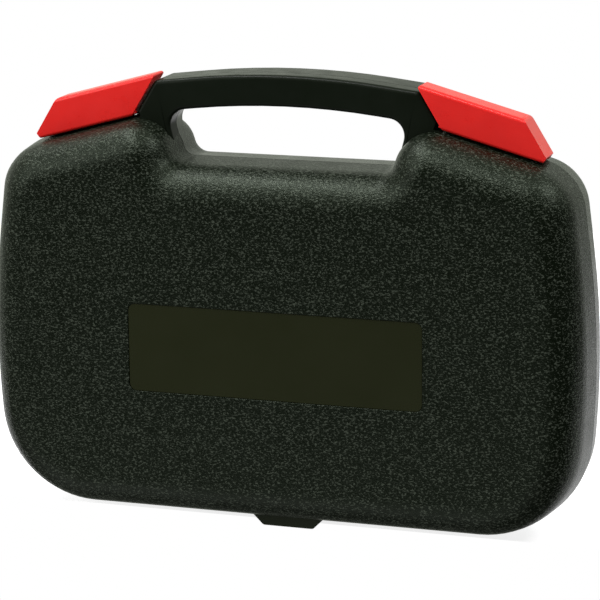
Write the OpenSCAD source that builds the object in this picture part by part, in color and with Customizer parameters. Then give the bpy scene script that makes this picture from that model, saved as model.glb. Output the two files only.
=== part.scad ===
// Hard tool case: two hinged clam-shell halves with a carrying handle and two swing latches.
// Millimetres. X runs along the case, Y from front to back and Z up.
// The origin is on the floor, under the middle of the case's width and depth.

/* [Case outline] */
// Width of the case where it is widest
case_w = 340; // [310:1:380]
// Height of that widest place above the floor
widest_z = 112; // [110:1:125]
// Lean of the side walls below the widest place, in degrees
side_lean_low = 4.2; // [1:0.1:4.6]
// Lean of the side walls above the widest place, in degrees
side_lean_high = 7; // [1:0.5:7.5]
// Corner radius of the outline at the bottom
bottom_r = 57; // [40:1:59]
// Radius of the slight bulge of the side walls
side_r = 500; // [300:10:540]
// Corner radius of the outline at the outer end of each shoulder
shoulder_r = 29.5; // [26:0.5:32]
// Corner radius of the outline at the inner end of each shoulder
cheek_r = 22; // [21:0.5:22]
// Slope of the shoulders, in degrees
shoulder_angle = 15.3; // [14.6:0.1:19]
// Height of the shoulders at their inner end
shoulder_z = 225.9; // [225.5:0.1:232]
// Distance from the middle of the case to that end
shoulder_x = 88; // [86.6:0.1:93]
// Height of the shelf under the hand opening
shelf_z = 204.5; // [200:0.1:204.9]
// Half of the shelf's width, between its sharp corners
shelf_half_w = 60.7; // [56:0.1:62]
// Lean of the walls beside the hand opening, in degrees
cheek_lean = 15; // [14.5:0.5:18]
// Radius between shelf and cheek
shelf_r = 6.5; // [5:0.5:7]

/* [Shells] */
// Depth of the front half
front_depth = 35; // [33:0.5:38]
// Depth of the rear half
rear_depth = 32; // [30:0.5:38]
// Gap between the two halves at the seam
seam_gap = 0.4; // [0.3:0.05:0.8]
// Wall thickness of the shells
shell_wall = 2.4; // [1.8:0.1:3.2]
// Draft of the shell walls, in degrees
draft = 5; // [4:0.5:6]
// Radius of the large outer edges
edge_r = 20.5; // [14:0.5:20.5]
// Draft of the rear half beside and under the hand opening, in degrees
rear_hand_draft = 5; // [3:0.5:8]
// Radius of the rear half's edge beside and under the hand opening
rear_hand_edge_r = 12; // [8:0.5:18]

/* [Trays] */
// Wall thickness of the inner trays
tray_wall = 1.6; // [1.2:0.1:2.4]
// Air space between shell wall and tray wall
tray_side_gap = 5; // [4:0.5:8]
// Air space between shell face and tray floor
tray_floor_gap = 5; // [4:0.5:9]
// Draft of the tray walls, in degrees
tray_draft = 3; // [1:0.5:5]
// Radius between tray wall and tray floor
tray_r = 5; // [3:0.5:6]

/* [Label panel] */
// Width of the label panel
label_w = 167; // [120:1:180]
// Height of the label panel
label_h = 49; // [40:0.5:70]
// Height of the panel's centre above the floor
label_z = 102.5; // [90:0.5:120]
// Corner radius of the panel
label_r = 4; // [2:0.5:10]
// Thickness of the panel
label_t = 0.6; // [0.4:0.1:1]
// Depth of the recess that the panel lies in
label_recess = 1; // [1:0.1:1.4]
// Play around the panel in its recess
label_play = 0.2; // [0.1:0.05:0.5]

/* [Handle] */
// Height of the top of the handle above the floor
handle_z = 252.1; // [250:0.1:258]
// Thickness of the handle bar, from top to underside
handle_t = 17.2; // [14:0.1:18]
// Radius of the handle's arch
arch_r = 457; // [380:1:600]
// Distance from the middle at which the arch runs on as a straight line
arch_half_w = 54; // [40:1:55]
// Depth of the handle in front of the seam
handle_front = 11; // [9:0.5:12]
// Depth of the handle behind the seam
handle_rear = 19; // [14:0.5:20]
// Rounding of the handle's outer edges
handle_edge_r = 2.5; // [1.5:0.5:3]
// Radius of the rear half's edge on the underside of the bar
grip_edge_r = 4; // [2.5:0.5:6]
// Draft of the rear handle half's legs towards the back, in degrees
rear_leg_draft = 10; // [0:0.5:12]
// Step from the wall beside the hand opening back to the handle leg above it
leg_step = 1.2; // [0.5:0.1:2]
// Corner radius of the hand opening under the bar
hand_r = 9; // [6:0.5:11]
// Corner radius at the two ends of the bar
handle_end_r = 3; // [2:0.5:5]

/* [Latches] */
// Length of a latch along its shoulder
latch_l = 61; // [56:0.5:64]
// Height of a latch
latch_h = 19.4; // [18:0.1:21]
// Depth of a latch in front of the seam
latch_front = 12; // [11.5:0.1:13]
// Depth of a latch behind the seam
latch_rear = 4.2; // [4.2:0.1:6]
// Lean of the latch ends towards the handle, in degrees
latch_lean = 46.5; // [35:0.5:50]
// Wall thickness of the latches
latch_wall = 1.6; // [1.4:0.1:1.8]
// Gap between latch and shoulder at the seam
latch_lift = 0.5; // [0.5:0.1:1.2]
// Gap between latch and handle
latch_gap = 1; // [0.6:0.1:2]
// Radius of the upper edges of the latches
latch_edge_r = 2.2; // [1:0.1:2.2]
// Radius at the outer upper corner of the latches
latch_end_r = 5; // [2:0.5:6]
// Radius of the lower front edge of the latches
latch_toe_r = 1.7; // [1.5:0.1:2]
// Radius of the notch under the outer end of the latches
latch_notch_r = 3; // [2:0.1:4]
// Small radius at the lower corners of the latches
latch_corner_r = 0.6; // [0.3:0.1:1]
// Length of the cut corner at the outer lower tip
latch_tip = 4.7; // [3:0.1:6]
// Distance of the latch pin in front of the seam
latch_pin_y = 8.7; // [8.5:0.1:8.7]
// Height of the latch pin above the shoulder
latch_pin_z = 3; // [3:0.1:4]
// Radius of the latch pins
latch_pin_r = 0.8; // [0.6:0.05:0.9]
// Radius of the ears that carry a latch pin
ear_r = 1.5; // [1.3:0.05:1.5]
// Width of one ear
ear_w = 4; // [3:0.5:6]
// Angle that a latch swings open, in degrees
latch_open = 80; // [50:1:85]
// Length of the catch behind a latch
catch_l = 36; // [20:1:40]
// Thickness of the catch
catch_t = 1.6; // [1.4:0.1:1.8]
// Height of the catch above the shoulder
catch_h = 4.4; // [2.5:0.1:4.6]

/* [Hinge and foot] */
// Height of the case's bottom edge above the floor
foot_h = 6; // [5.8:0.1:8]
// Width of the foot at the floor
foot_w = 29; // [24:1:40]
// Depth of each half of the foot, measured from the seam
foot_depth = 13; // [11:0.5:15]
// How much wider each side of the foot gets from the floor up to the case
foot_flare = 6; // [2:0.5:8]
// Radius of the foot's lower corners
foot_corner_r = 2.5; // [1:0.5:3]
// Radius of the hinge knuckles
knuckle_r = 2.8; // [2.4:0.1:2.8]
// Width of the middle knuckle, which belongs to the front half
knuckle_w = 14; // [10:0.5:16]
// Radius of the hinge pin
hinge_pin_r = 1.25; // [1:0.05:1.5]
// Angle at which the two halves of the foot stop the lid, in degrees
lid_stop = 110; // [95:1:125]

/* [Fasteners and fits] */
// Radius of the handle screws
screw_r = 1.6; // [1.2:0.1:2]
// Radius of the screw heads
screw_head_r = 2.6; // [2.2:0.1:3]
// Height of the screw heads
screw_head_h = 1.6; // [1.4:0.1:2.2]
// Distance of the handle screws from the middle of the case
screw_x = 75; // [73:0.5:77]
// Depth of the screws in the handle
screw_grip = 10; // [6:0.5:12]
// Radial play of a pin in the piece that turns on it
running_play = 0.05; // [0.02:0.01:0.1]
// Radial play of a pin or screw in the piece that holds it
fixed_play = 0.02; // [0.01:0.01:0.05]
// Gap between pieces that pass each other
pass_gap = 0.3; // [0.25:0.05:0.5]

/* [Hidden] */

RIGHT = 1;
LEFT = -1;
REAR = 1;
FRONT = -1;
// Farthest that a rounded corner's straight pieces lie from its true arc, and their largest turn
ARC_ERROR = 0.06;
ARC_STEP = 12;
// What a cutting solid reaches past the surface that it cuts
CUT = 1;
// Where the upper edge of an ear's arm leaves the ear, in degrees from straight back
ARM_TOP = 60;
$fn = 48;

BLACK = [0.07, 0.08, 0.07];
DARK = [0.1, 0.11, 0.1];
OLIVE = [0.13, 0.13, 0.09];
RED = [0.72, 0.05, 0.05];
STEEL = [0.7, 0.7, 0.72];

// The seam stands in front of or behind the origin, so that the origin is under the middle of the depth
seam_y = (front_depth - rear_depth) / 2;
half_gap = seam_gap / 2;
front_t = front_depth - half_gap;
rear_t = rear_depth - half_gap;

// ---------------------------------------------------------------- outlines
function along(angle) = [cos(angle), sin(angle)];
function meet(p, a, q, b) = p + along(a) * cross(q - p, along(b)) / cross(along(a), along(b));
function unit(v) = v / norm(v);
function left_of(v) = [-v[1], v[0]];
function turned(v, a) = [v[0] * cos(a) - v[1] * sin(a), v[0] * sin(a) + v[1] * cos(a)];
function mirrored(corners) = [for (i = [len(corners) - 1:-1:0])
    [-corners[i][0], corners[i][1], corners[i][2]]];

function arc_steps(turn, r) = max(1, ceil(abs(turn) / min(ARC_STEP, 2 * acos(1 - ARC_ERROR / max(r, 1)))));

// An inset is one number, or a list of numbers and, for the edge that starts from each corner, the place
// in that list. A case has its own inset beside and under the hand opening. A handle has one under the
// bar and one on the inner sides of its legs.
CASE_EDGES = [0, 0, 0, 1, 1, 1, 0, 0, 0, 0];
HANDLE_EDGES = [0, 0, 0, 0, 0, 0, 0, 0, 2, 1, 1, 2];
SMALLEST_R = 0.15;
function edge_inset(inset, i) = is_num(inset) ? inset : inset[0][inset[1][i]];

// The points of rounded corner i of a counterclockwise outline that is drawn inward by inset
function corner_points(corners, i, inset) =
    let (n = len(corners),
         before = corners[(i + n - 1) % n],
         here = corners[i],
         after = corners[(i + 1) % n],
         d1 = unit([here[0] - before[0], here[1] - before[1]]),
         d2 = unit([after[0] - here[0], after[1] - here[1]]),
         n1 = left_of(d1),
         n2 = left_of(d2),
         middle = (n1 + n2) / (1 + d1 * d2),
         turn = atan2(cross(d1, d2), d1 * d2),
         in1 = edge_inset(inset, (i + n - 1) % n),
         in2 = edge_inset(inset, i),
         moved = in1 == in2 ? middle * in1 : n1 * in1 + d1 * (in1 * (n1 * n2) - in2) / cross(d1, d2),
         r = turn > 0 ? max(here[2] - max(in1, in2), SMALLEST_R) : -here[2] - in2,
         centre = [here[0], here[1]] + moved + middle * r,
         steps = arc_steps(turn, turn > 0 ? here[2] : here[2] + edge_r))
    here[2] == 0 ? [[here[0], here[1]] + moved]
                 : [for (k = [0:steps]) centre - r * turned(n1, turn * k / steps)];
function outline(corners, inset = 0) = [for (i = [0:len(corners) - 1]) each corner_points(corners, i, inset)];

// A point on the shoulder line, measured from its inner end: a outward along it and b square to it
function on_shoulder(a, b) =
    [shoulder_x, shoulder_z] + a * along(-shoulder_angle) + b * along(90 - shoulder_angle);

// The sharp corners of the case's outline at the seam, from the bottom round the right side, with radii
bulge = side_r * (1 / cos((side_lean_low + side_lean_high) / 2) - 1);
widest = [case_w / 2 + bulge, widest_z];
case_bottom = meet(widest, -90 - side_lean_low, [0, foot_h], 0);
case_top = meet(widest, 90 + side_lean_high, [shoulder_x, shoulder_z], -shoulder_angle);
shelf_corner = [shelf_half_w, shelf_z];
cheek_top = meet(shelf_corner, 90 - cheek_lean, [shoulder_x, shoulder_z], -shoulder_angle);
right_corners = [
    [case_bottom[0], case_bottom[1], bottom_r],
    [widest[0], widest[1], side_r],
    [case_top[0], case_top[1], shoulder_r],
    [cheek_top[0], cheek_top[1], cheek_r],
    [shelf_corner[0], shelf_corner[1], shelf_r]];
case_corners = concat(right_corners, mirrored(right_corners));

// The places that each corner's points take in an outline, as one list for each corner
function corner_size(corners, i) = len(corner_points(corners, i, 0));
function corner_places(corners) = [for (i = 0, start = 0; i < len(corners);
    start = start + corner_size(corners, i), i = i + 1) [start:start + corner_size(corners, i) - 1]];
function listed(range) = [for (i = range) i];
function first_of(range) = listed(range)[0];
function last_of(range) = let (all = listed(range)) all[len(all) - 1];
function reversed(list) = [for (i = [len(list) - 1:-1:0]) list[i]];
function flipped(face) = [face[0], for (i = [len(face) - 1:-1:1]) face[i]];

// The flat end of a case outline: the body up to the shelf, and a shoulder on each side. All of each
// face can be seen from its first point.
function case_ends(corners) = let (c = corner_places(corners)) [
    [each c[0], each c[1], last_of(c[4]), first_of(c[5]), each c[8], each c[9]],
    [last_of(c[1]), each c[2], each c[3], each c[4]],
    [first_of(c[8]), each c[5], each c[6], each c[7]]];

// ---------------------------------------------------------------- solids
// side is FRONT or REAR. Each profile entry is an inset of the outline and a depth from the seam, and
// the solid runs through all of them between two flat ends.
module loft(corners, profile, side, ends) {
    rings = [for (p = profile) [for (q = outline(corners, p[0])) [q[0], side * (half_gap + p[1]), q[1]]]];
    n = len(rings[0]);
    last = len(rings) - 1;
    walls = [for (j = [0:last - 1]) for (i = [0:n - 1]) let (k = (i + 1) % n)
        [j * n + i, j * n + k, (j + 1) * n + k, (j + 1) * n + i]];
    faces = concat(walls, [for (f = ends) flipped(f)], [for (f = ends) [for (i = f) last * n + i]]);
    polyhedron(points = [for (ring = rings) each ring],
               faces = side < 0 ? [for (f = faces) flipped(f)] : faces);
}

// An outline in X and Z, carried from y0 to y1
module front_prism(points, y0, y1)
    translate([0, y1, 0]) rotate([90, 0, 0]) linear_extrude(y1 - y0) polygon(points);

// An outline in Y and Z, carried from x0 to x1
module side_prism(points, x0, x1)
    translate([x0, 0, 0]) rotate([90, 0, 90]) linear_extrude(x1 - x0) polygon(points);

module x_rod(r, x0, x1) translate([x0, 0, 0]) rotate([0, 90, 0]) cylinder(r = r, h = x1 - x0);

// Places what is drawn in the shoulder's own frame: X outward along the slope, Z square to it
module at_shoulder(side)
    mirror([side == LEFT ? 1 : 0, 0, 0])
        translate([shoulder_x, 0, shoulder_z]) rotate([0, shoulder_angle, 0]) children();

module at_seam() translate([0, seam_y, 0]) children();

// ---------------------------------------------------------------- shells and trays
// Inset of a shell surface that lies wall inside the outer one, at a depth y from the seam
function shell_inset(y, depth, wall, r, slope) =
    let (past = y - (depth - r), inner_r = r - wall)
    past < inner_r * sin(slope) ? wall / cos(slope) + y * tan(slope)
        : (r + (depth - r) * sin(slope)) / cos(slope) - sqrt(max(pow(inner_r, 2) - pow(past, 2), 0));

// Insets and depths of such a surface, with its own draft and edge radius beside the hand opening
function shell_profile(depth, wall, hand_r, hand_draft) =
    [for (y = concat([0], [for (i = [0:6]) depth - edge_r + (edge_r - wall) * sin(draft + (90 - draft) * i / 6)]))
        [[[shell_inset(y, depth, wall, edge_r, draft), shell_inset(y, depth, wall, hand_r, hand_draft)],
          CASE_EDGES], y]];
function side_profile(side, depth, wall) = side == FRONT ? shell_profile(depth, wall, edge_r, draft)
    : shell_profile(depth, wall, rear_hand_edge_r, rear_hand_draft);

module shell(side, depth)
    loft(case_corners, concat(reversed(side_profile(side, depth, shell_wall)), side_profile(side, depth, 0)),
         side, case_ends(case_corners));

module shell_block(side, depth)
    loft(case_corners, concat([[0, -seam_gap]], side_profile(side, depth, 0)), side, case_ends(case_corners));

// Insets and depths of a tray surface that starts at the rim with the given inset
function tray_profile(rim, floor_t, r, start) = concat(
    [[rim + start * tan(tray_draft), start]],
    [for (i = [0:4]) let (a = tray_draft + (90 - tray_draft) * i / 4)
        [rim + (floor_t - r) * tan(tray_draft) + r / cos(tray_draft) - r * cos(a), floor_t - r + r * sin(a)]]);

module tray(side, depth) {
    flange_edge = shell_wall / cos(draft);
    outer_rim = flange_edge + tray_side_gap;
    floor_t = depth - shell_wall - tray_floor_gap;
    loft(case_corners, concat(
        reversed(tray_profile(outer_rim + tray_wall, floor_t - tray_wall, tray_r, 0)),
        [[flange_edge, 0], [flange_edge + tray_wall * tan(draft), tray_wall]],
        tray_profile(outer_rim, floor_t, tray_r + tray_wall, tray_wall)), side, case_ends(case_corners));
}

// ---------------------------------------------------------------- handle
// The slanted edge where the handle passes the latch, and the bar's two concentric arches
latch_edge_angle = 90 + latch_lean - shoulder_angle;
handle_edge_foot = on_shoulder(0, latch_lift) + latch_gap * along(latch_edge_angle + 90);
arch_slope = asin(arch_half_w / arch_r);
under_r = arch_r - handle_t;
function arch_peak(z, r) = z + r * (1 / cos(arch_slope) - 1);
bar_top = [0, arch_peak(handle_z, arch_r)];
bar_under = [0, arch_peak(handle_z - handle_t, under_r)];
bar_end = meet(bar_top, -arch_slope, handle_edge_foot, latch_edge_angle);
hand_corner = meet(bar_under, -arch_slope, shelf_corner + [leg_step, 0], 90 - cheek_lean);

// Where the rounded cheek leaves the straight wall beside the hand opening, and the cheek's centre
shoulder_out = along(90 - shoulder_angle);
cheek_out = along(180 - cheek_lean);
cheek_centre = cheek_top - cheek_r * (shoulder_out + cheek_out) / (1 + shoulder_out * cheek_out);
cheek_end = cheek_centre + cheek_r * cheek_out;
function cheek_z(x, r) = cheek_centre[1] + sqrt(pow(r, 2) - pow(x - cheek_centre[0], 2));

// The legs reach a little into the shells, where they are cut to the shells' surface
leg_sink = 4;
leg_outer = handle_edge_foot - leg_sink * along(latch_edge_angle);
right_handle = [
    [cheek_end[0] + leg_step, cheek_end[1], 0],
    [cheek_centre[0], cheek_end[1], 0],
    [leg_outer[0], leg_outer[1], 0],
    [bar_end[0], bar_end[1], handle_end_r]];
handle_corners = concat(
    right_handle, [[0, bar_top[1], arch_r]], mirrored(right_handle),
    [[-hand_corner[0], hand_corner[1], hand_r], [0, bar_under[1], under_r],
     [hand_corner[0], hand_corner[1], hand_r]]);

// The flat end of the handle: a leg on each side and the bar, which can all be seen from its top
function handle_ends(corners) = let (c = corner_places(corners), top = listed(c[4]), half = floor(len(top) / 2)) [
    [last_of(c[3]), each c[11], each c[0], each c[1], each c[2], for (i = c[3]) if (i != last_of(c[3])) i],
    [each c[5], each c[6], each c[7], each c[8], each c[9]],
    [for (i = [half:len(top) - 1]) top[i], first_of(c[5]), last_of(c[9]), each c[10], first_of(c[11]),
     last_of(c[3]), for (i = [0:half - 1]) top[i]]];

// The space that the lower end of an opening latch sweeps in the handle leg beside it
relief_r = latch_front - latch_pin_y + 2 * pass_gap;
relief_x = lean_x(latch_pin_z + relief_r / 2) - pass_gap;
module latch_relief()
    translate([0, -latch_pin_y, latch_pin_z])
        side_prism([[-relief_r, -relief_r], [ear_r + pass_gap, -relief_r], [ear_r + pass_gap, ear_r], [-relief_r, ear_r]],
                   relief_x, latch_l / 2);

// Insets and depths of a handle half, with its own edge radius under the bar and draft inside the legs
function handle_profile(depth, under_edge_r, leg_draft) =
    [for (y = concat([0], [for (i = [0:5]) depth - under_edge_r * (1 - sin(90 * i / 5))]))
        [[[shell_inset(y, depth, 0, handle_edge_r, 0), shell_inset(y, depth, 0, under_edge_r, 0),
           shell_inset(y, depth, 0, handle_edge_r, leg_draft)], HANDLE_EDGES], y]];

module handle_half(side, depth, shell_depth)
    difference() {
        loft(handle_corners, side == FRONT ? handle_profile(depth - half_gap, handle_edge_r, 0)
             : handle_profile(depth - half_gap, grip_edge_r, rear_leg_draft), side, handle_ends(handle_corners));
        shell_block(side, shell_depth);
        screw_places(side) cylinder(r = screw_r + fixed_play, h = screw_head_h + screw_shank + CUT);
        for (end = [LEFT, RIGHT]) at_shoulder(end) latch_relief();
    }

// The handle screws come up from inside the shell, with their heads just under the shell's wall
screw_y = handle_front / 2;
head_top_z = cheek_z(screw_x - screw_head_r, cheek_r - shell_wall) - (screw_y + screw_head_r) * tan(draft)
    - pass_gap;
screw_shank = cheek_z(screw_x, cheek_r) - head_top_z + screw_grip;
module screw_places(side)
    for (end = [LEFT, RIGHT])
        translate([end * screw_x, side * screw_y, head_top_z - screw_head_h]) children();

module handle_screws(side)
    screw_places(side) {
        cylinder(r = screw_head_r, h = screw_head_h);
        cylinder(r = screw_r, h = screw_head_h + screw_shank);
    }

module bored_shell(side, depth)
    difference() {
        shell(side, depth);
        screw_places(side) cylinder(r = screw_r + fixed_play, h = screw_head_h + screw_shank);
    }

// ---------------------------------------------------------------- label panel
module rounded_plate(w, h, r, y0, y1)
    translate([0, 0, label_z])
        front_prism(outline([[-w / 2, -h / 2, r], [w / 2, -h / 2, r], [w / 2, h / 2, r], [-w / 2, h / 2, r]]),
                    y0, y1);

module label_place(play, front, back)
    rounded_plate(label_w + 2 * play, label_h + 2 * play, label_r + play, front, back);

// ---------------------------------------------------------------- latches
// All in the shoulder's own frame. Points in Y and Z are counted from the pin's axis.
pin_at = [-latch_pin_y, latch_pin_z];
latch_base = latch_lift;
latch_top = latch_lift + latch_h;
function lean_x(z) = -(z - latch_lift) * tan(latch_lean);
// Thickness of a leaning end wall, measured along the shoulder
end_wall = latch_wall / cos(latch_lean);
bore_r = latch_pin_r + running_play;
boss_r = ear_r;
boss_w = ear_w + 1;
boss_in = end_wall - boss_w;
boss_out = latch_l + lean_x(latch_pin_z + boss_r) - end_wall - boss_w;
// The pin is put in from the outer end, where it ends just inside the latch's end face
pin_out = latch_l - latch_tip;
ear_in = boss_in + boss_w + pass_gap;
ear_out = boss_out - pass_gap - ear_w;
catch_x = (ear_in + ear_out + ear_w - catch_l) / 2;

// The parallelogram seen from the front, with the cut tip at its outer lower corner
function latch_face(z1) = outline([
    [lean_x(latch_base), latch_base, latch_corner_r],
    [latch_l - latch_tip, latch_base, latch_corner_r],
    [latch_l - latch_tip * sin(latch_lean), latch_base + latch_tip * cos(latch_lean), latch_corner_r],
    [latch_l + lean_x(z1), z1, latch_end_r],
    [lean_x(z1), z1, latch_edge_r / 2]]);

// The same shape inside the end walls, open below
function pocket_face(z1) = [
    [lean_x(-CUT) + end_wall, -CUT],
    [latch_l - latch_tip - end_wall, -CUT],
    [latch_l - latch_tip - end_wall, latch_base + latch_tip],
    [latch_l + lean_x(z1) - end_wall, z1],
    [lean_x(z1) + end_wall, z1]];

module latch_block()
    intersection() {
        front_prism(latch_face(latch_top), -latch_front - CUT, latch_rear + CUT);
        side_prism(outline([
            [-latch_front, latch_base, latch_toe_r],
            [latch_rear, latch_base, 0],
            [latch_rear, latch_top, latch_edge_r],
            [-latch_front, latch_top, latch_edge_r]]), lean_x(latch_top) - CUT, latch_l + CUT);
    }

module latch_pocket()
    front_prism(pocket_face(latch_top - latch_wall), -latch_front + latch_wall, latch_rear - latch_wall);

module latch_body() {
    difference() {
        union() {
            difference() {
                latch_block();
                latch_pocket();
            }
            for (x = [boss_in, boss_out]) {
                translate([0, pin_at[0], pin_at[1]]) x_rod(boss_r, x, x + boss_w);
                translate([x, -latch_front + latch_wall / 2, pin_at[1] - boss_r])
                    cube([boss_w, latch_front - latch_wall / 2 - latch_pin_y, 2 * boss_r]);
            }
        }
        translate([0, pin_at[0], pin_at[1]]) x_rod(bore_r, boss_in, latch_l + CUT);
        translate([0, -latch_pin_y / 4, latch_base]) x_rod(latch_notch_r, boss_out + boss_w, latch_l + CUT);
    }
}

module latch_pin(side)
    at_shoulder(side) translate([0, pin_at[0], pin_at[1]])
        x_rod(latch_pin_r, boss_in, pin_out);

// The ear's arm comes from behind, so that the open latch's front wall passes in front of it
swept_toe_r = norm([latch_front - latch_wall - latch_pin_y, latch_pin_z - latch_base]) + pass_gap;
open_wall = along(latch_open - 90);
arm_low = -ear_r * left_of(open_wall) + sqrt(pow(swept_toe_r, 2) - pow(ear_r, 2)) * open_wall;
function shoulder_drop(y) = -(abs(y) - half_gap) * tan(draft);
function seat(dy) = [dy, shoulder_drop(pin_at[0] + dy) - pin_at[1]];
arm_back = -pin_at[0] - half_gap - pass_gap;
arm = [-ear_r * left_of(open_wall), arm_low, seat(arm_low[0]), seat(arm_back), [arm_back, arm_low[1]],
       ear_r * along(ARM_TOP)];
arm_foot = [arm_low, seat(arm_low[0]), seat(arm_back), [arm_back, arm_low[1]]];

module latch_mount(side)
    at_shoulder(side) translate([0, pin_at[0], pin_at[1]]) {
        difference() {
            for (x = [ear_in, ear_out]) {
                x_rod(ear_r, x, x + ear_w);
                side_prism(arm, x, x + ear_w);
            }
            x_rod(latch_pin_r + fixed_play, ear_in - CUT, ear_out + ear_w + CUT);
        }
        side_prism(arm_foot, ear_in, ear_out + ear_w);
    }

catch_back = latch_rear - latch_wall - pass_gap;
catch_front = catch_back - catch_t;
module catch_bar(side)
    at_shoulder(side) side_prism([[catch_front, shoulder_drop(catch_front)], [catch_back, shoulder_drop(catch_back)],
        [catch_back, catch_h], [catch_front, catch_h]], catch_x, catch_x + catch_l);

// ---------------------------------------------------------------- hinge and foot
pin_z = foot_h / 2;
stop_lean = (180 - lid_stop) / 2;
block_y = knuckle_r + pass_gap;
module foot_outline(y0, y1) {
    right = [[foot_w / 2, 0, foot_corner_r],
             [foot_w / 2 + foot_flare, foot_h, 0],
             [foot_w / 2 + foot_flare + foot_h, 2 * foot_h, 0]];
    front_prism(outline(concat(right, mirrored(right))), y0, y1);
}

// Side view of one half of the foot, with its top on the shell's bottom
module foot_section() {
    side_prism([
        [block_y, pin_z - block_y * tan(stop_lean)], [pin_z / tan(stop_lean), 0], [foot_depth, 0],
        [foot_depth, foot_h + (foot_depth - half_gap) * tan(draft)],
        [block_y, foot_h + (block_y - half_gap) * tan(draft)]], -case_w, case_w);
}

module knuckle(x0, x1) {
    translate([0, 0, pin_z]) x_rod(knuckle_r, x0, x1);
    side_prism([[0, pin_z], [block_y, pin_z - block_y * tan(stop_lean)], [block_y, pin_z + knuckle_r],
                [0, pin_z + knuckle_r]], x0, x1);
}

module foot_half() intersection() {
    foot_outline(0, foot_depth);
    foot_section();
}

module hinge_pin_hole(play) translate([0, 0, pin_z]) x_rod(hinge_pin_r + play, -foot_w, foot_w);

// ---------------------------------------------------------------- the sub-parts
module rear_shell() color(BLACK) at_seam() bored_shell(REAR, rear_t);

module rear_tray() color(DARK) at_seam() tray(REAR, rear_t);

module rear_handle_half() color(BLACK) at_seam() handle_half(REAR, handle_rear, rear_t);

module rear_handle_screws() color(STEEL) at_seam() handle_screws(REAR);

module rear_hinge_lug() color(BLACK) at_seam()
    difference() {
        union() {
            foot_half();
            knuckle(knuckle_w / 2 + pass_gap, foot_w / 2);
            knuckle(-foot_w / 2, -knuckle_w / 2 - pass_gap);
        }
        hinge_pin_hole(fixed_play);
    }

module hinge_pin() color(STEEL) at_seam()
    translate([0, 0, pin_z]) x_rod(hinge_pin_r, -foot_w / 2, foot_w / 2);

module left_catch() color(DARK) at_seam() catch_bar(LEFT);

module right_catch() color(DARK) at_seam() catch_bar(RIGHT);

module front_shell() color(BLACK) at_seam()
    difference() {
        bored_shell(FRONT, front_t);
        label_place(label_play, -front_depth - CUT, -front_depth + label_recess);
    }

module front_tray() color(DARK) at_seam() tray(FRONT, front_t);

module front_handle_half() color(BLACK) at_seam() handle_half(FRONT, handle_front, front_t);

module front_handle_screws() color(STEEL) at_seam() handle_screws(FRONT);

module front_hinge_lug() color(BLACK) at_seam() mirror([0, 1, 0])
    difference() {
        union() {
            foot_half();
            knuckle(-knuckle_w / 2, knuckle_w / 2);
        }
        hinge_pin_hole(running_play);
    }

module label_panel() color(OLIVE) at_seam()
    label_place(0, -front_depth + label_recess - label_t, -front_depth + label_recess);

module left_latch_mount() color(BLACK) at_seam() latch_mount(LEFT);

module right_latch_mount() color(BLACK) at_seam() latch_mount(RIGHT);

module left_latch_pin() color(STEEL) at_seam() latch_pin(LEFT);

module right_latch_pin() color(STEEL) at_seam() latch_pin(RIGHT);

module left_latch() color(RED) at_seam() at_shoulder(LEFT) latch_body();

module right_latch() color(RED) at_seam() at_shoulder(RIGHT) latch_body();

rear_shell();
rear_tray();
rear_handle_half();
rear_handle_screws();
rear_hinge_lug();
hinge_pin();
left_catch();
right_catch();
front_shell();
front_tray();
front_handle_half();
front_handle_screws();
front_hinge_lug();
label_panel();
left_latch_mount();
right_latch_mount();
left_latch_pin();
right_latch_pin();
left_latch();
right_latch();
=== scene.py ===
"""A black hard tool case with a carrying handle, two red swing latches and a blank label panel."""

import math

import bmesh
import bpy
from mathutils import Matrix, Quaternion, Vector


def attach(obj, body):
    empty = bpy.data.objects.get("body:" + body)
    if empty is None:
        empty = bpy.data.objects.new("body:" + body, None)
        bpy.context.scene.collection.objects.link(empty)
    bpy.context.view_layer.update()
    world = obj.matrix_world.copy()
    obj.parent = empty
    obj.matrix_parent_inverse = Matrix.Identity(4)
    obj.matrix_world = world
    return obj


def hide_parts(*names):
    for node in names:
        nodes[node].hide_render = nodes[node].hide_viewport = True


MM = 0.001

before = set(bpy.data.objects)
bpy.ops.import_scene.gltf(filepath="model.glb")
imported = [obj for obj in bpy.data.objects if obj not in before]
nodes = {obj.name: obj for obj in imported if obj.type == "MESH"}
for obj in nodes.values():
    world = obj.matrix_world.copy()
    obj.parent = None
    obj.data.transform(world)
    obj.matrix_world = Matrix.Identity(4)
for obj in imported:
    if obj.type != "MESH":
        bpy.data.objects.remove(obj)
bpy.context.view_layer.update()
scene = bpy.context.scene


# ---------------------------------------------------------------- camera
AZIMUTH = math.radians(18.51)
ELEVATION = math.radians(13.32)
ROLL = math.radians(-0.6)
DISTANCE = 1603.5 * MM
LOOK_AT = Vector((3.36, 3.5, 126.06)) * MM
FOCAL_LENGTH = 175.35
SENSOR_WIDTH = 36


def make_camera():
    forward = Vector(
        (
            -math.sin(AZIMUTH) * math.cos(ELEVATION),
            math.cos(AZIMUTH) * math.cos(ELEVATION),
            -math.sin(ELEVATION),
        )
    )
    lens = bpy.data.cameras.new("camera")
    lens.lens = FOCAL_LENGTH
    lens.sensor_width = SENSOR_WIDTH
    lens.clip_start = 0.05
    lens.clip_end = 50
    camera = bpy.data.objects.new("camera", lens)
    scene.collection.objects.link(camera)
    camera.location = LOOK_AT - forward * DISTANCE
    turn = forward.to_track_quat("-Z", "Y").to_matrix()
    line_of_sight = turn @ Vector((0, 0, 1))
    camera.rotation_mode = "QUATERNION"
    camera.rotation_quaternion = Quaternion(line_of_sight, ROLL) @ turn.to_quaternion()
    scene.camera = camera


make_camera()


# ---------------------------------------------------------------- light, floor and background
WHITE = (1, 1, 1, 1)

# the room lights matt surfaces evenly from all round
ROOM_LIGHT = 0.43

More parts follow.
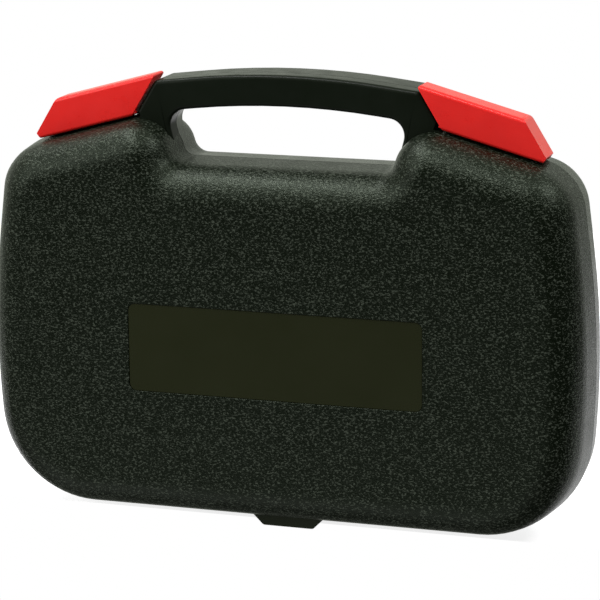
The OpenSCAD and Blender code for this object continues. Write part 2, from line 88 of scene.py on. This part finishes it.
# in reflections the room is bright towards ROOM_BRIGHT_SIDE, which is above the case, behind it
# and to its left, and dims from the second of ROOM_FADE to the first along that direction
ROOM_COLOUR = (0.94, 1, 0.86, 1)
ROOM_BRIGHT_SIDE = (-0.3, 0.5, 0.8)
ROOM_FADE = (-0.2, 0.5)
ROOM_DIM, ROOM_BRIGHT = 0.1, 0.92

# the floor ends at the hinge, as a shelf does, so that the lid can open past level
FLOOR_LEFT, FLOOR_RIGHT = -0.4, 0.4
FLOOR_FRONT, FLOOR_BACK = 0.0, 0.8
FLOOR_COLOUR = (0.5, 0.5, 0.5, 1)
FLOOR_GLOW = 0.8


def spread(tree, value, low, high, to_low, to_high):
    scale = tree.nodes.new("ShaderNodeMapRange")
    scale.inputs["From Min"].default_value = low
    scale.inputs["From Max"].default_value = high
    scale.inputs["To Min"].default_value = to_low
    scale.inputs["To Max"].default_value = to_high
    tree.links.new(value, scale.inputs["Value"])
    return scale.outputs["Result"]


def either(tree, first, second):
    largest = tree.nodes.new("ShaderNodeMath")
    largest.operation = "MAXIMUM"
    tree.links.new(first, largest.inputs[0])
    tree.links.new(second, largest.inputs[1])
    return largest.outputs[0]


def in_a_reflection(tree, rays):
    return either(tree, rays.outputs["Is Glossy Ray"], rays.outputs["Is Transmission Ray"])


def background(tree, colour, strength=1):
    shade = tree.nodes.new("ShaderNodeBackground")
    shade.inputs["Color"].default_value = colour
    shade.inputs["Strength"].default_value = strength
    return shade


def blend(tree, amount, first, second):
    mix = tree.nodes.new("ShaderNodeMixShader")
    tree.links.new(amount, mix.inputs["Fac"])
    tree.links.new(first, mix.inputs[1])
    tree.links.new(second, mix.inputs[2])
    return mix.outputs[0]


def make_world():
    world = bpy.data.worlds.new("studio")
    scene.world = world
    world.use_nodes = True
    tree = world.node_tree
    tree.nodes.clear()
    even = background(tree, WHITE, ROOM_LIGHT)
    mirrored = background(tree, ROOM_COLOUR)
    seen = background(tree, WHITE)

    place = tree.nodes.new("ShaderNodeTexCoord")
    side = tree.nodes.new("ShaderNodeVectorMath")
    side.operation = "DOT_PRODUCT"
    side.inputs[1].default_value = ROOM_BRIGHT_SIDE
    tree.links.new(place.outputs["Generated"], side.inputs[0])
    brightness = spread(tree, side.outputs["Value"], *ROOM_FADE, ROOM_DIM, ROOM_BRIGHT)
    tree.links.new(brightness, mirrored.inputs["Strength"])

    rays = tree.nodes.new("ShaderNodeLightPath")
    around = blend(tree, in_a_reflection(tree, rays), even.outputs[0], mirrored.outputs[0])
    whole = blend(tree, rays.outputs["Is Camera Ray"], around, seen.outputs[0])
    output = tree.nodes.new("ShaderNodeOutputWorld")
    tree.links.new(whole, output.inputs["Surface"])


def white_paper():
    """Paper that takes a shadow, and glows where the camera or a reflection sees it."""
    paper = bpy.data.materials.new("white_paper")
    paper.use_nodes = True
    tree = paper.node_tree
    tree.nodes.clear()
    matt = tree.nodes.new("ShaderNodeBsdfDiffuse")
    matt.inputs["Color"].default_value = FLOOR_COLOUR
    rays = tree.nodes.new("ShaderNodeLightPath")
    seen = either(tree, rays.outputs["Is Camera Ray"], in_a_reflection(tree, rays))
    level = tree.nodes.new("ShaderNodeMath")
    level.operation = "MULTIPLY"
    tree.links.new(seen, level.inputs[0])
    level.inputs[1].default_value = FLOOR_GLOW
    glow = tree.nodes.new("ShaderNodeEmission")
    glow.inputs["Color"].default_value = WHITE
    tree.links.new(level.outputs[0], glow.inputs["Strength"])
    both = tree.nodes.new("ShaderNodeAddShader")
    tree.links.new(matt.outputs[0], both.inputs[0])
    tree.links.new(glow.outputs[0], both.inputs[1])
    output = tree.nodes.new("ShaderNodeOutputMaterial")
    tree.links.new(both.outputs[0], output.inputs["Surface"])
    return paper


def make_floor():
    ground = bmesh.new()
    corners = (
        (FLOOR_LEFT, FLOOR_FRONT, 0),
        (FLOOR_RIGHT, FLOOR_FRONT, 0),
        (FLOOR_RIGHT, FLOOR_BACK, 0),
        (FLOOR_LEFT, FLOOR_BACK, 0),
    )
    ground.faces.new([ground.verts.new(corner) for corner in corners])
    mesh = bpy.data.meshes.new("floor")
    ground.to_mesh(mesh)
    ground.free()
    mesh.materials.append(white_paper())
    floor = bpy.data.objects.new("floor", mesh)
    scene.collection.objects.link(floor)


def soft_box(name, at, aim, width, height, power):
    light = bpy.data.lights.new(name, "AREA")
    light.shape = "RECTANGLE"
    light.size = width
    light.size_y = height
    light.energy = power
    box = bpy.data.objects.new(name, light)
    scene.collection.objects.link(box)
    box.location = at
    box.rotation_euler = (Vector(aim) - Vector(at)).to_track_quat("-Z", "Y").to_euler()


make_world()
make_floor()
soft_box("top_light", (-0.45, -0.4, 1.6), (0, 0, 0.15), width=1.7, height=0.28, power=31)
soft_box("left_light", (-1.3, -1.2, 0.9), (0, 0, 0.13), width=0.9, height=1.1, power=14)
soft_box("right_light", (1.1, -0.15, 1.35), (0, 0, 0.13), width=0.5, height=0.5, power=14)
soft_box("low_light", (-0.25, -0.55, -0.55), (0, 0, 0.05), width=1.2, height=0.8, power=3)
scene.view_settings.view_transform = "Standard"


# ---------------------------------------------------------------- finishes
# most values of a noise texture lie between these two
NOISE_LOW, NOISE_HIGH = 0.3, 0.7

PEBBLE_SCALE = 1050
PEBBLE_STRETCH = (0.7, 1, 1.15)
PEBBLE_DEPTH = 0.1 * MM
PEBBLE_TINT = (0.85, 1, 0.8, 1)


def principled(name, specular=0.5, metallic=0.0):
    finish = bpy.data.materials.new(name)
    finish.use_nodes = True
    shader = finish.node_tree.nodes["Principled BSDF"]
    shader.inputs["Specular IOR Level"].default_value = specular
    shader.inputs["Metallic"].default_value = metallic
    return finish, finish.node_tree, shader


def noise(tree, scale, detail=2.0, distortion=0.0, vector=None):
    texture = tree.nodes.new("ShaderNodeTexNoise")
    texture.inputs["Scale"].default_value = scale
    texture.inputs["Detail"].default_value = detail
    texture.inputs["Distortion"].default_value = distortion
    if vector is None:
        place = tree.nodes.new("ShaderNodeTexCoord")
        vector = place.outputs["Object"]
    tree.links.new(vector, texture.inputs["Vector"])
    return texture.outputs["Fac"]


def two_tone(tree, shader, value, dark, light, dark_at=0.35, light_at=0.65, blend_as="LINEAR"):
    tones = tree.nodes.new("ShaderNodeValToRGB")
    tones.color_ramp.interpolation = blend_as
    tones.color_ramp.elements[0].position = dark_at
    tones.color_ramp.elements[0].color = (*dark, 1)
    tones.color_ramp.elements[1].position = light_at
    tones.color_ramp.elements[1].color = (*light, 1)
    tree.links.new(value, tones.inputs["Fac"])
    tree.links.new(tones.outputs["Color"], shader.inputs["Base Color"])


def uneven_roughness(tree, shader, value, smoothest, roughest):
    amount = spread(tree, value, NOISE_LOW, NOISE_HIGH, smoothest, roughest)
    tree.links.new(amount, shader.inputs["Roughness"])


def relief(tree, shader, value, strength, depth, under=None):
    bump = tree.nodes.new("ShaderNodeBump")
    bump.inputs["Strength"].default_value = strength
    bump.inputs["Distance"].default_value = depth
    tree.links.new(value, bump.inputs["Height"])
    if under is not None:
        tree.links.new(under, bump.inputs["Normal"])
    tree.links.new(bump.outputs["Normal"], shader.inputs["Normal"])
    return bump.outputs["Normal"]


def pebbled_plastic():
    """Wrinkles about 1.5 mm apart, longer than high, with a fine grain over them; their tops are
    painted pale as glints of the light above.
    """
    finish, tree, shader = principled("pebbled_plastic", specular=0.16)
    shader.inputs["Specular Tint"].default_value = PEBBLE_TINT
    place = tree.nodes.new("ShaderNodeTexCoord")
    wide = tree.nodes.new("ShaderNodeMapping")
    wide.inputs["Scale"].default_value = PEBBLE_STRETCH
    tree.links.new(place.outputs["Object"], wide.inputs["Vector"])
    wrinkles = noise(tree, PEBBLE_SCALE, 1.2, 0.7, wide.outputs["Vector"])
    tops = spread(tree, wrinkles, 0.36, 0.66, 0, 1)
    # the wrinkle tops are painted pale: painted glints of the light from above; the rest keeps the
    # plastic's own dark colour
    dark, painted_glint = (0.0016, 0.003, 0.0011), (0.037, 0.044, 0.033)
    two_tone(tree, shader, tops, dark, painted_glint, dark_at=0.6, light_at=1, blend_as="EASE")
    uneven_roughness(tree, shader, noise(tree, 60, 3), 0.3, 0.36)
    coarse = relief(tree, shader, tops, 1, PEBBLE_DEPTH)
    relief(tree, shader, noise(tree, 2200, 2), 0.4, 0.03 * MM, under=coarse)
    return finish


def satin_plastic(name, dark, light, specular):
    finish, tree, shader = principled(name, specular)
    two_tone(tree, shader, noise(tree, 45, 3), dark, light)
    uneven_roughness(tree, shader, noise(tree, 130, 4), 0.27, 0.36)
    relief(tree, shader, noise(tree, 900, 3), 0.12, 0.04 * MM)
    return finish


def red_plastic():
    finish, tree, shader = principled("red_plastic", specular=0.3)
    two_tone(tree, shader, noise(tree, 40, 3), (0.58, 0.011, 0.009), (0.64, 0.014, 0.011))
    uneven_roughness(tree, shader, noise(tree, 150, 4), 0.26, 0.34)
    relief(tree, shader, noise(tree, 1100, 3), 0.12, 0.04 * MM)
    return finish


def label_film():
    finish, tree, shader = principled("label_film", specular=0.07)
    dark, light = (0.0118, 0.0138, 0.0046), (0.0128, 0.0149, 0.0052)
    two_tone(tree, shader, noise(tree, 22, 2), dark, light)
    uneven_roughness(tree, shader, noise(tree, 90, 3), 0.42, 0.5)
    relief(tree, shader, noise(tree, 700, 2), 0.08, 0.03 * MM)
    return finish


def tray_plastic():
    finish, tree, shader = principled("tray_plastic")
    two_tone(tree, shader, noise(tree, 30, 3), (0.016, 0.018, 0.016), (0.022, 0.024, 0.021))
    uneven_roughness(tree, shader, noise(tree, 80, 3), 0.48, 0.6)
    relief(tree, shader, noise(tree, 1400, 3), 0.4, 0.08 * MM)
    return finish


def plated_steel():
    finish, tree, shader = principled("plated_steel", metallic=1)
    two_tone(tree, shader, noise(tree, 200, 3), (0.56, 0.56, 0.55), (0.68, 0.68, 0.66))
    uneven_roughness(tree, shader, noise(tree, 500, 4), 0.22, 0.4)
    relief(tree, shader, noise(tree, 2600, 3), 0.15, 0.03 * MM)
    return finish


PEBBLED = pebbled_plastic()
SATIN = satin_plastic("satin_plastic", (0.0046, 0.0066, 0.0038), (0.0056, 0.0078, 0.0048), 0.06)
FOOT = satin_plastic("foot_plastic", (0.0105, 0.0138, 0.0066), (0.0122, 0.0158, 0.008), 0.08)
RED = red_plastic()
LABEL = label_film()
TRAY = tray_plastic()
STEEL = plated_steel()


# ---------------------------------------------------------------- pieces
# vertices nearer than MERGE are one vertex, and faces within FLAT of each other one flat face
MERGE = 0.002 * MM
FLAT = math.radians(0.4)

# edges sharper than SHARP_EDGE are rounded
SHARP_EDGE = math.radians(33)
EDGE_SEGMENTS = 3

# how far the base's rim comes forward across the 0.4 mm seam
SEAM_COVER = 0.36 * MM


def merged(node):
    """A closed copy of a CAD node's mesh, with its flat faces joined again."""
    shape = bmesh.new()
    shape.from_mesh(nodes[node].data)
    bmesh.ops.remove_doubles(shape, verts=shape.verts, dist=MERGE)
    bmesh.ops.dissolve_limit(
        shape,
        angle_limit=FLAT,
        verts=shape.verts,
        edges=shape.edges,
        use_dissolve_boundaries=False,
    )
    return shape


def finished(shape, name, body, slot, finish, *replaced):
    mesh = bpy.data.meshes.new(name)
    shape.to_mesh(mesh)
    shape.free()
    if "custom_normal" in mesh.attributes:
        mesh.attributes.remove(mesh.attributes["custom_normal"])
    for face in mesh.polygons:
        face.use_smooth = True
    mesh.materials.clear()
    mesh.materials.append(finish)
    piece = bpy.data.objects.new(name, mesh)
    scene.collection.objects.link(piece)
    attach(piece, body)
    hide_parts(*replaced)
    return piece


def rounded_edges(piece, width):
    bevel = piece.modifiers.new("edges", "BEVEL")
    bevel.width = width
    bevel.segments = EDGE_SEGMENTS
    bevel.limit_method = "ANGLE"
    bevel.angle_limit = SHARP_EDGE
    bevel.miter_outer = "MITER_ARC"
    bevel.use_clamp_overlap = True
    weighted = piece.modifiers.new("shading", "WEIGHTED_NORMAL")
    weighted.keep_sharp = True
    weighted.weight = 100


def meet_lid(shape):
    """The rim of the base nearly reaches the lid's, so that no light passes through the seam."""
    rim = min(vertex.co.y for vertex in shape.verts)
    for vertex in shape.verts:
        if vertex.co.y < rim + MERGE:
            vertex.co.y = rim - SEAM_COVER


def dress(node, name, body, slot, finish, width, fit=None):
    shape = merged(node)
    if fit is not None:
        fit(shape)
    piece = finished(shape, name, body, slot, finish, node)
    rounded_edges(piece, width)


dress("front_shell", "front_case_half", "lid", "shell", PEBBLED, 0.35 * MM)
dress("rear_shell", "rear_case_half", "base", "shell", PEBBLED, 0.35 * MM, fit=meet_lid)
dress("front_tray", "front_tool_tray", "lid", "tray", TRAY, 0.3 * MM)
dress("rear_tray", "rear_tool_tray", "base", "tray", TRAY, 0.3 * MM)
dress("front_handle_half", "front_grip", "lid", "handle", SATIN, 0.8 * MM)
dress("rear_handle_half", "rear_grip", "base", "handle", SATIN, 0.8 * MM)
dress("front_hinge_lug", "front_foot", "lid", "shell", FOOT, 0.3 * MM)
dress("rear_hinge_lug", "rear_foot", "base", "shell", FOOT, 0.3 * MM)
dress("label_panel", "blank_label", "lid", "label", LABEL, 0.2 * MM)
for side in ("left", "right"):
    dress(f"{side}_latch", f"{side}_swing_latch", f"{side}_latch", "latch", RED, 0.35 * MM)
    dress(f"{side}_latch_mount", f"{side}_latch_ears", "lid", "shell", SATIN, 0.2 * MM)
    dress(f"{side}_latch_pin", f"{side}_latch_axle", "lid", "steel", STEEL, 0.15 * MM)
    dress(f"{side}_catch", f"{side}_catch_rib", "base", "tray", SATIN, 0.25 * MM)
dress("hinge_pin", "hinge_axle", "base", "steel", STEEL, 0.2 * MM)
dress("front_handle_screws", "front_grip_screws", "lid", "steel", STEEL, 0.2 * MM)
dress("rear_handle_screws", "rear_grip_screws", "base", "steel", STEEL, 0.2 * MM)
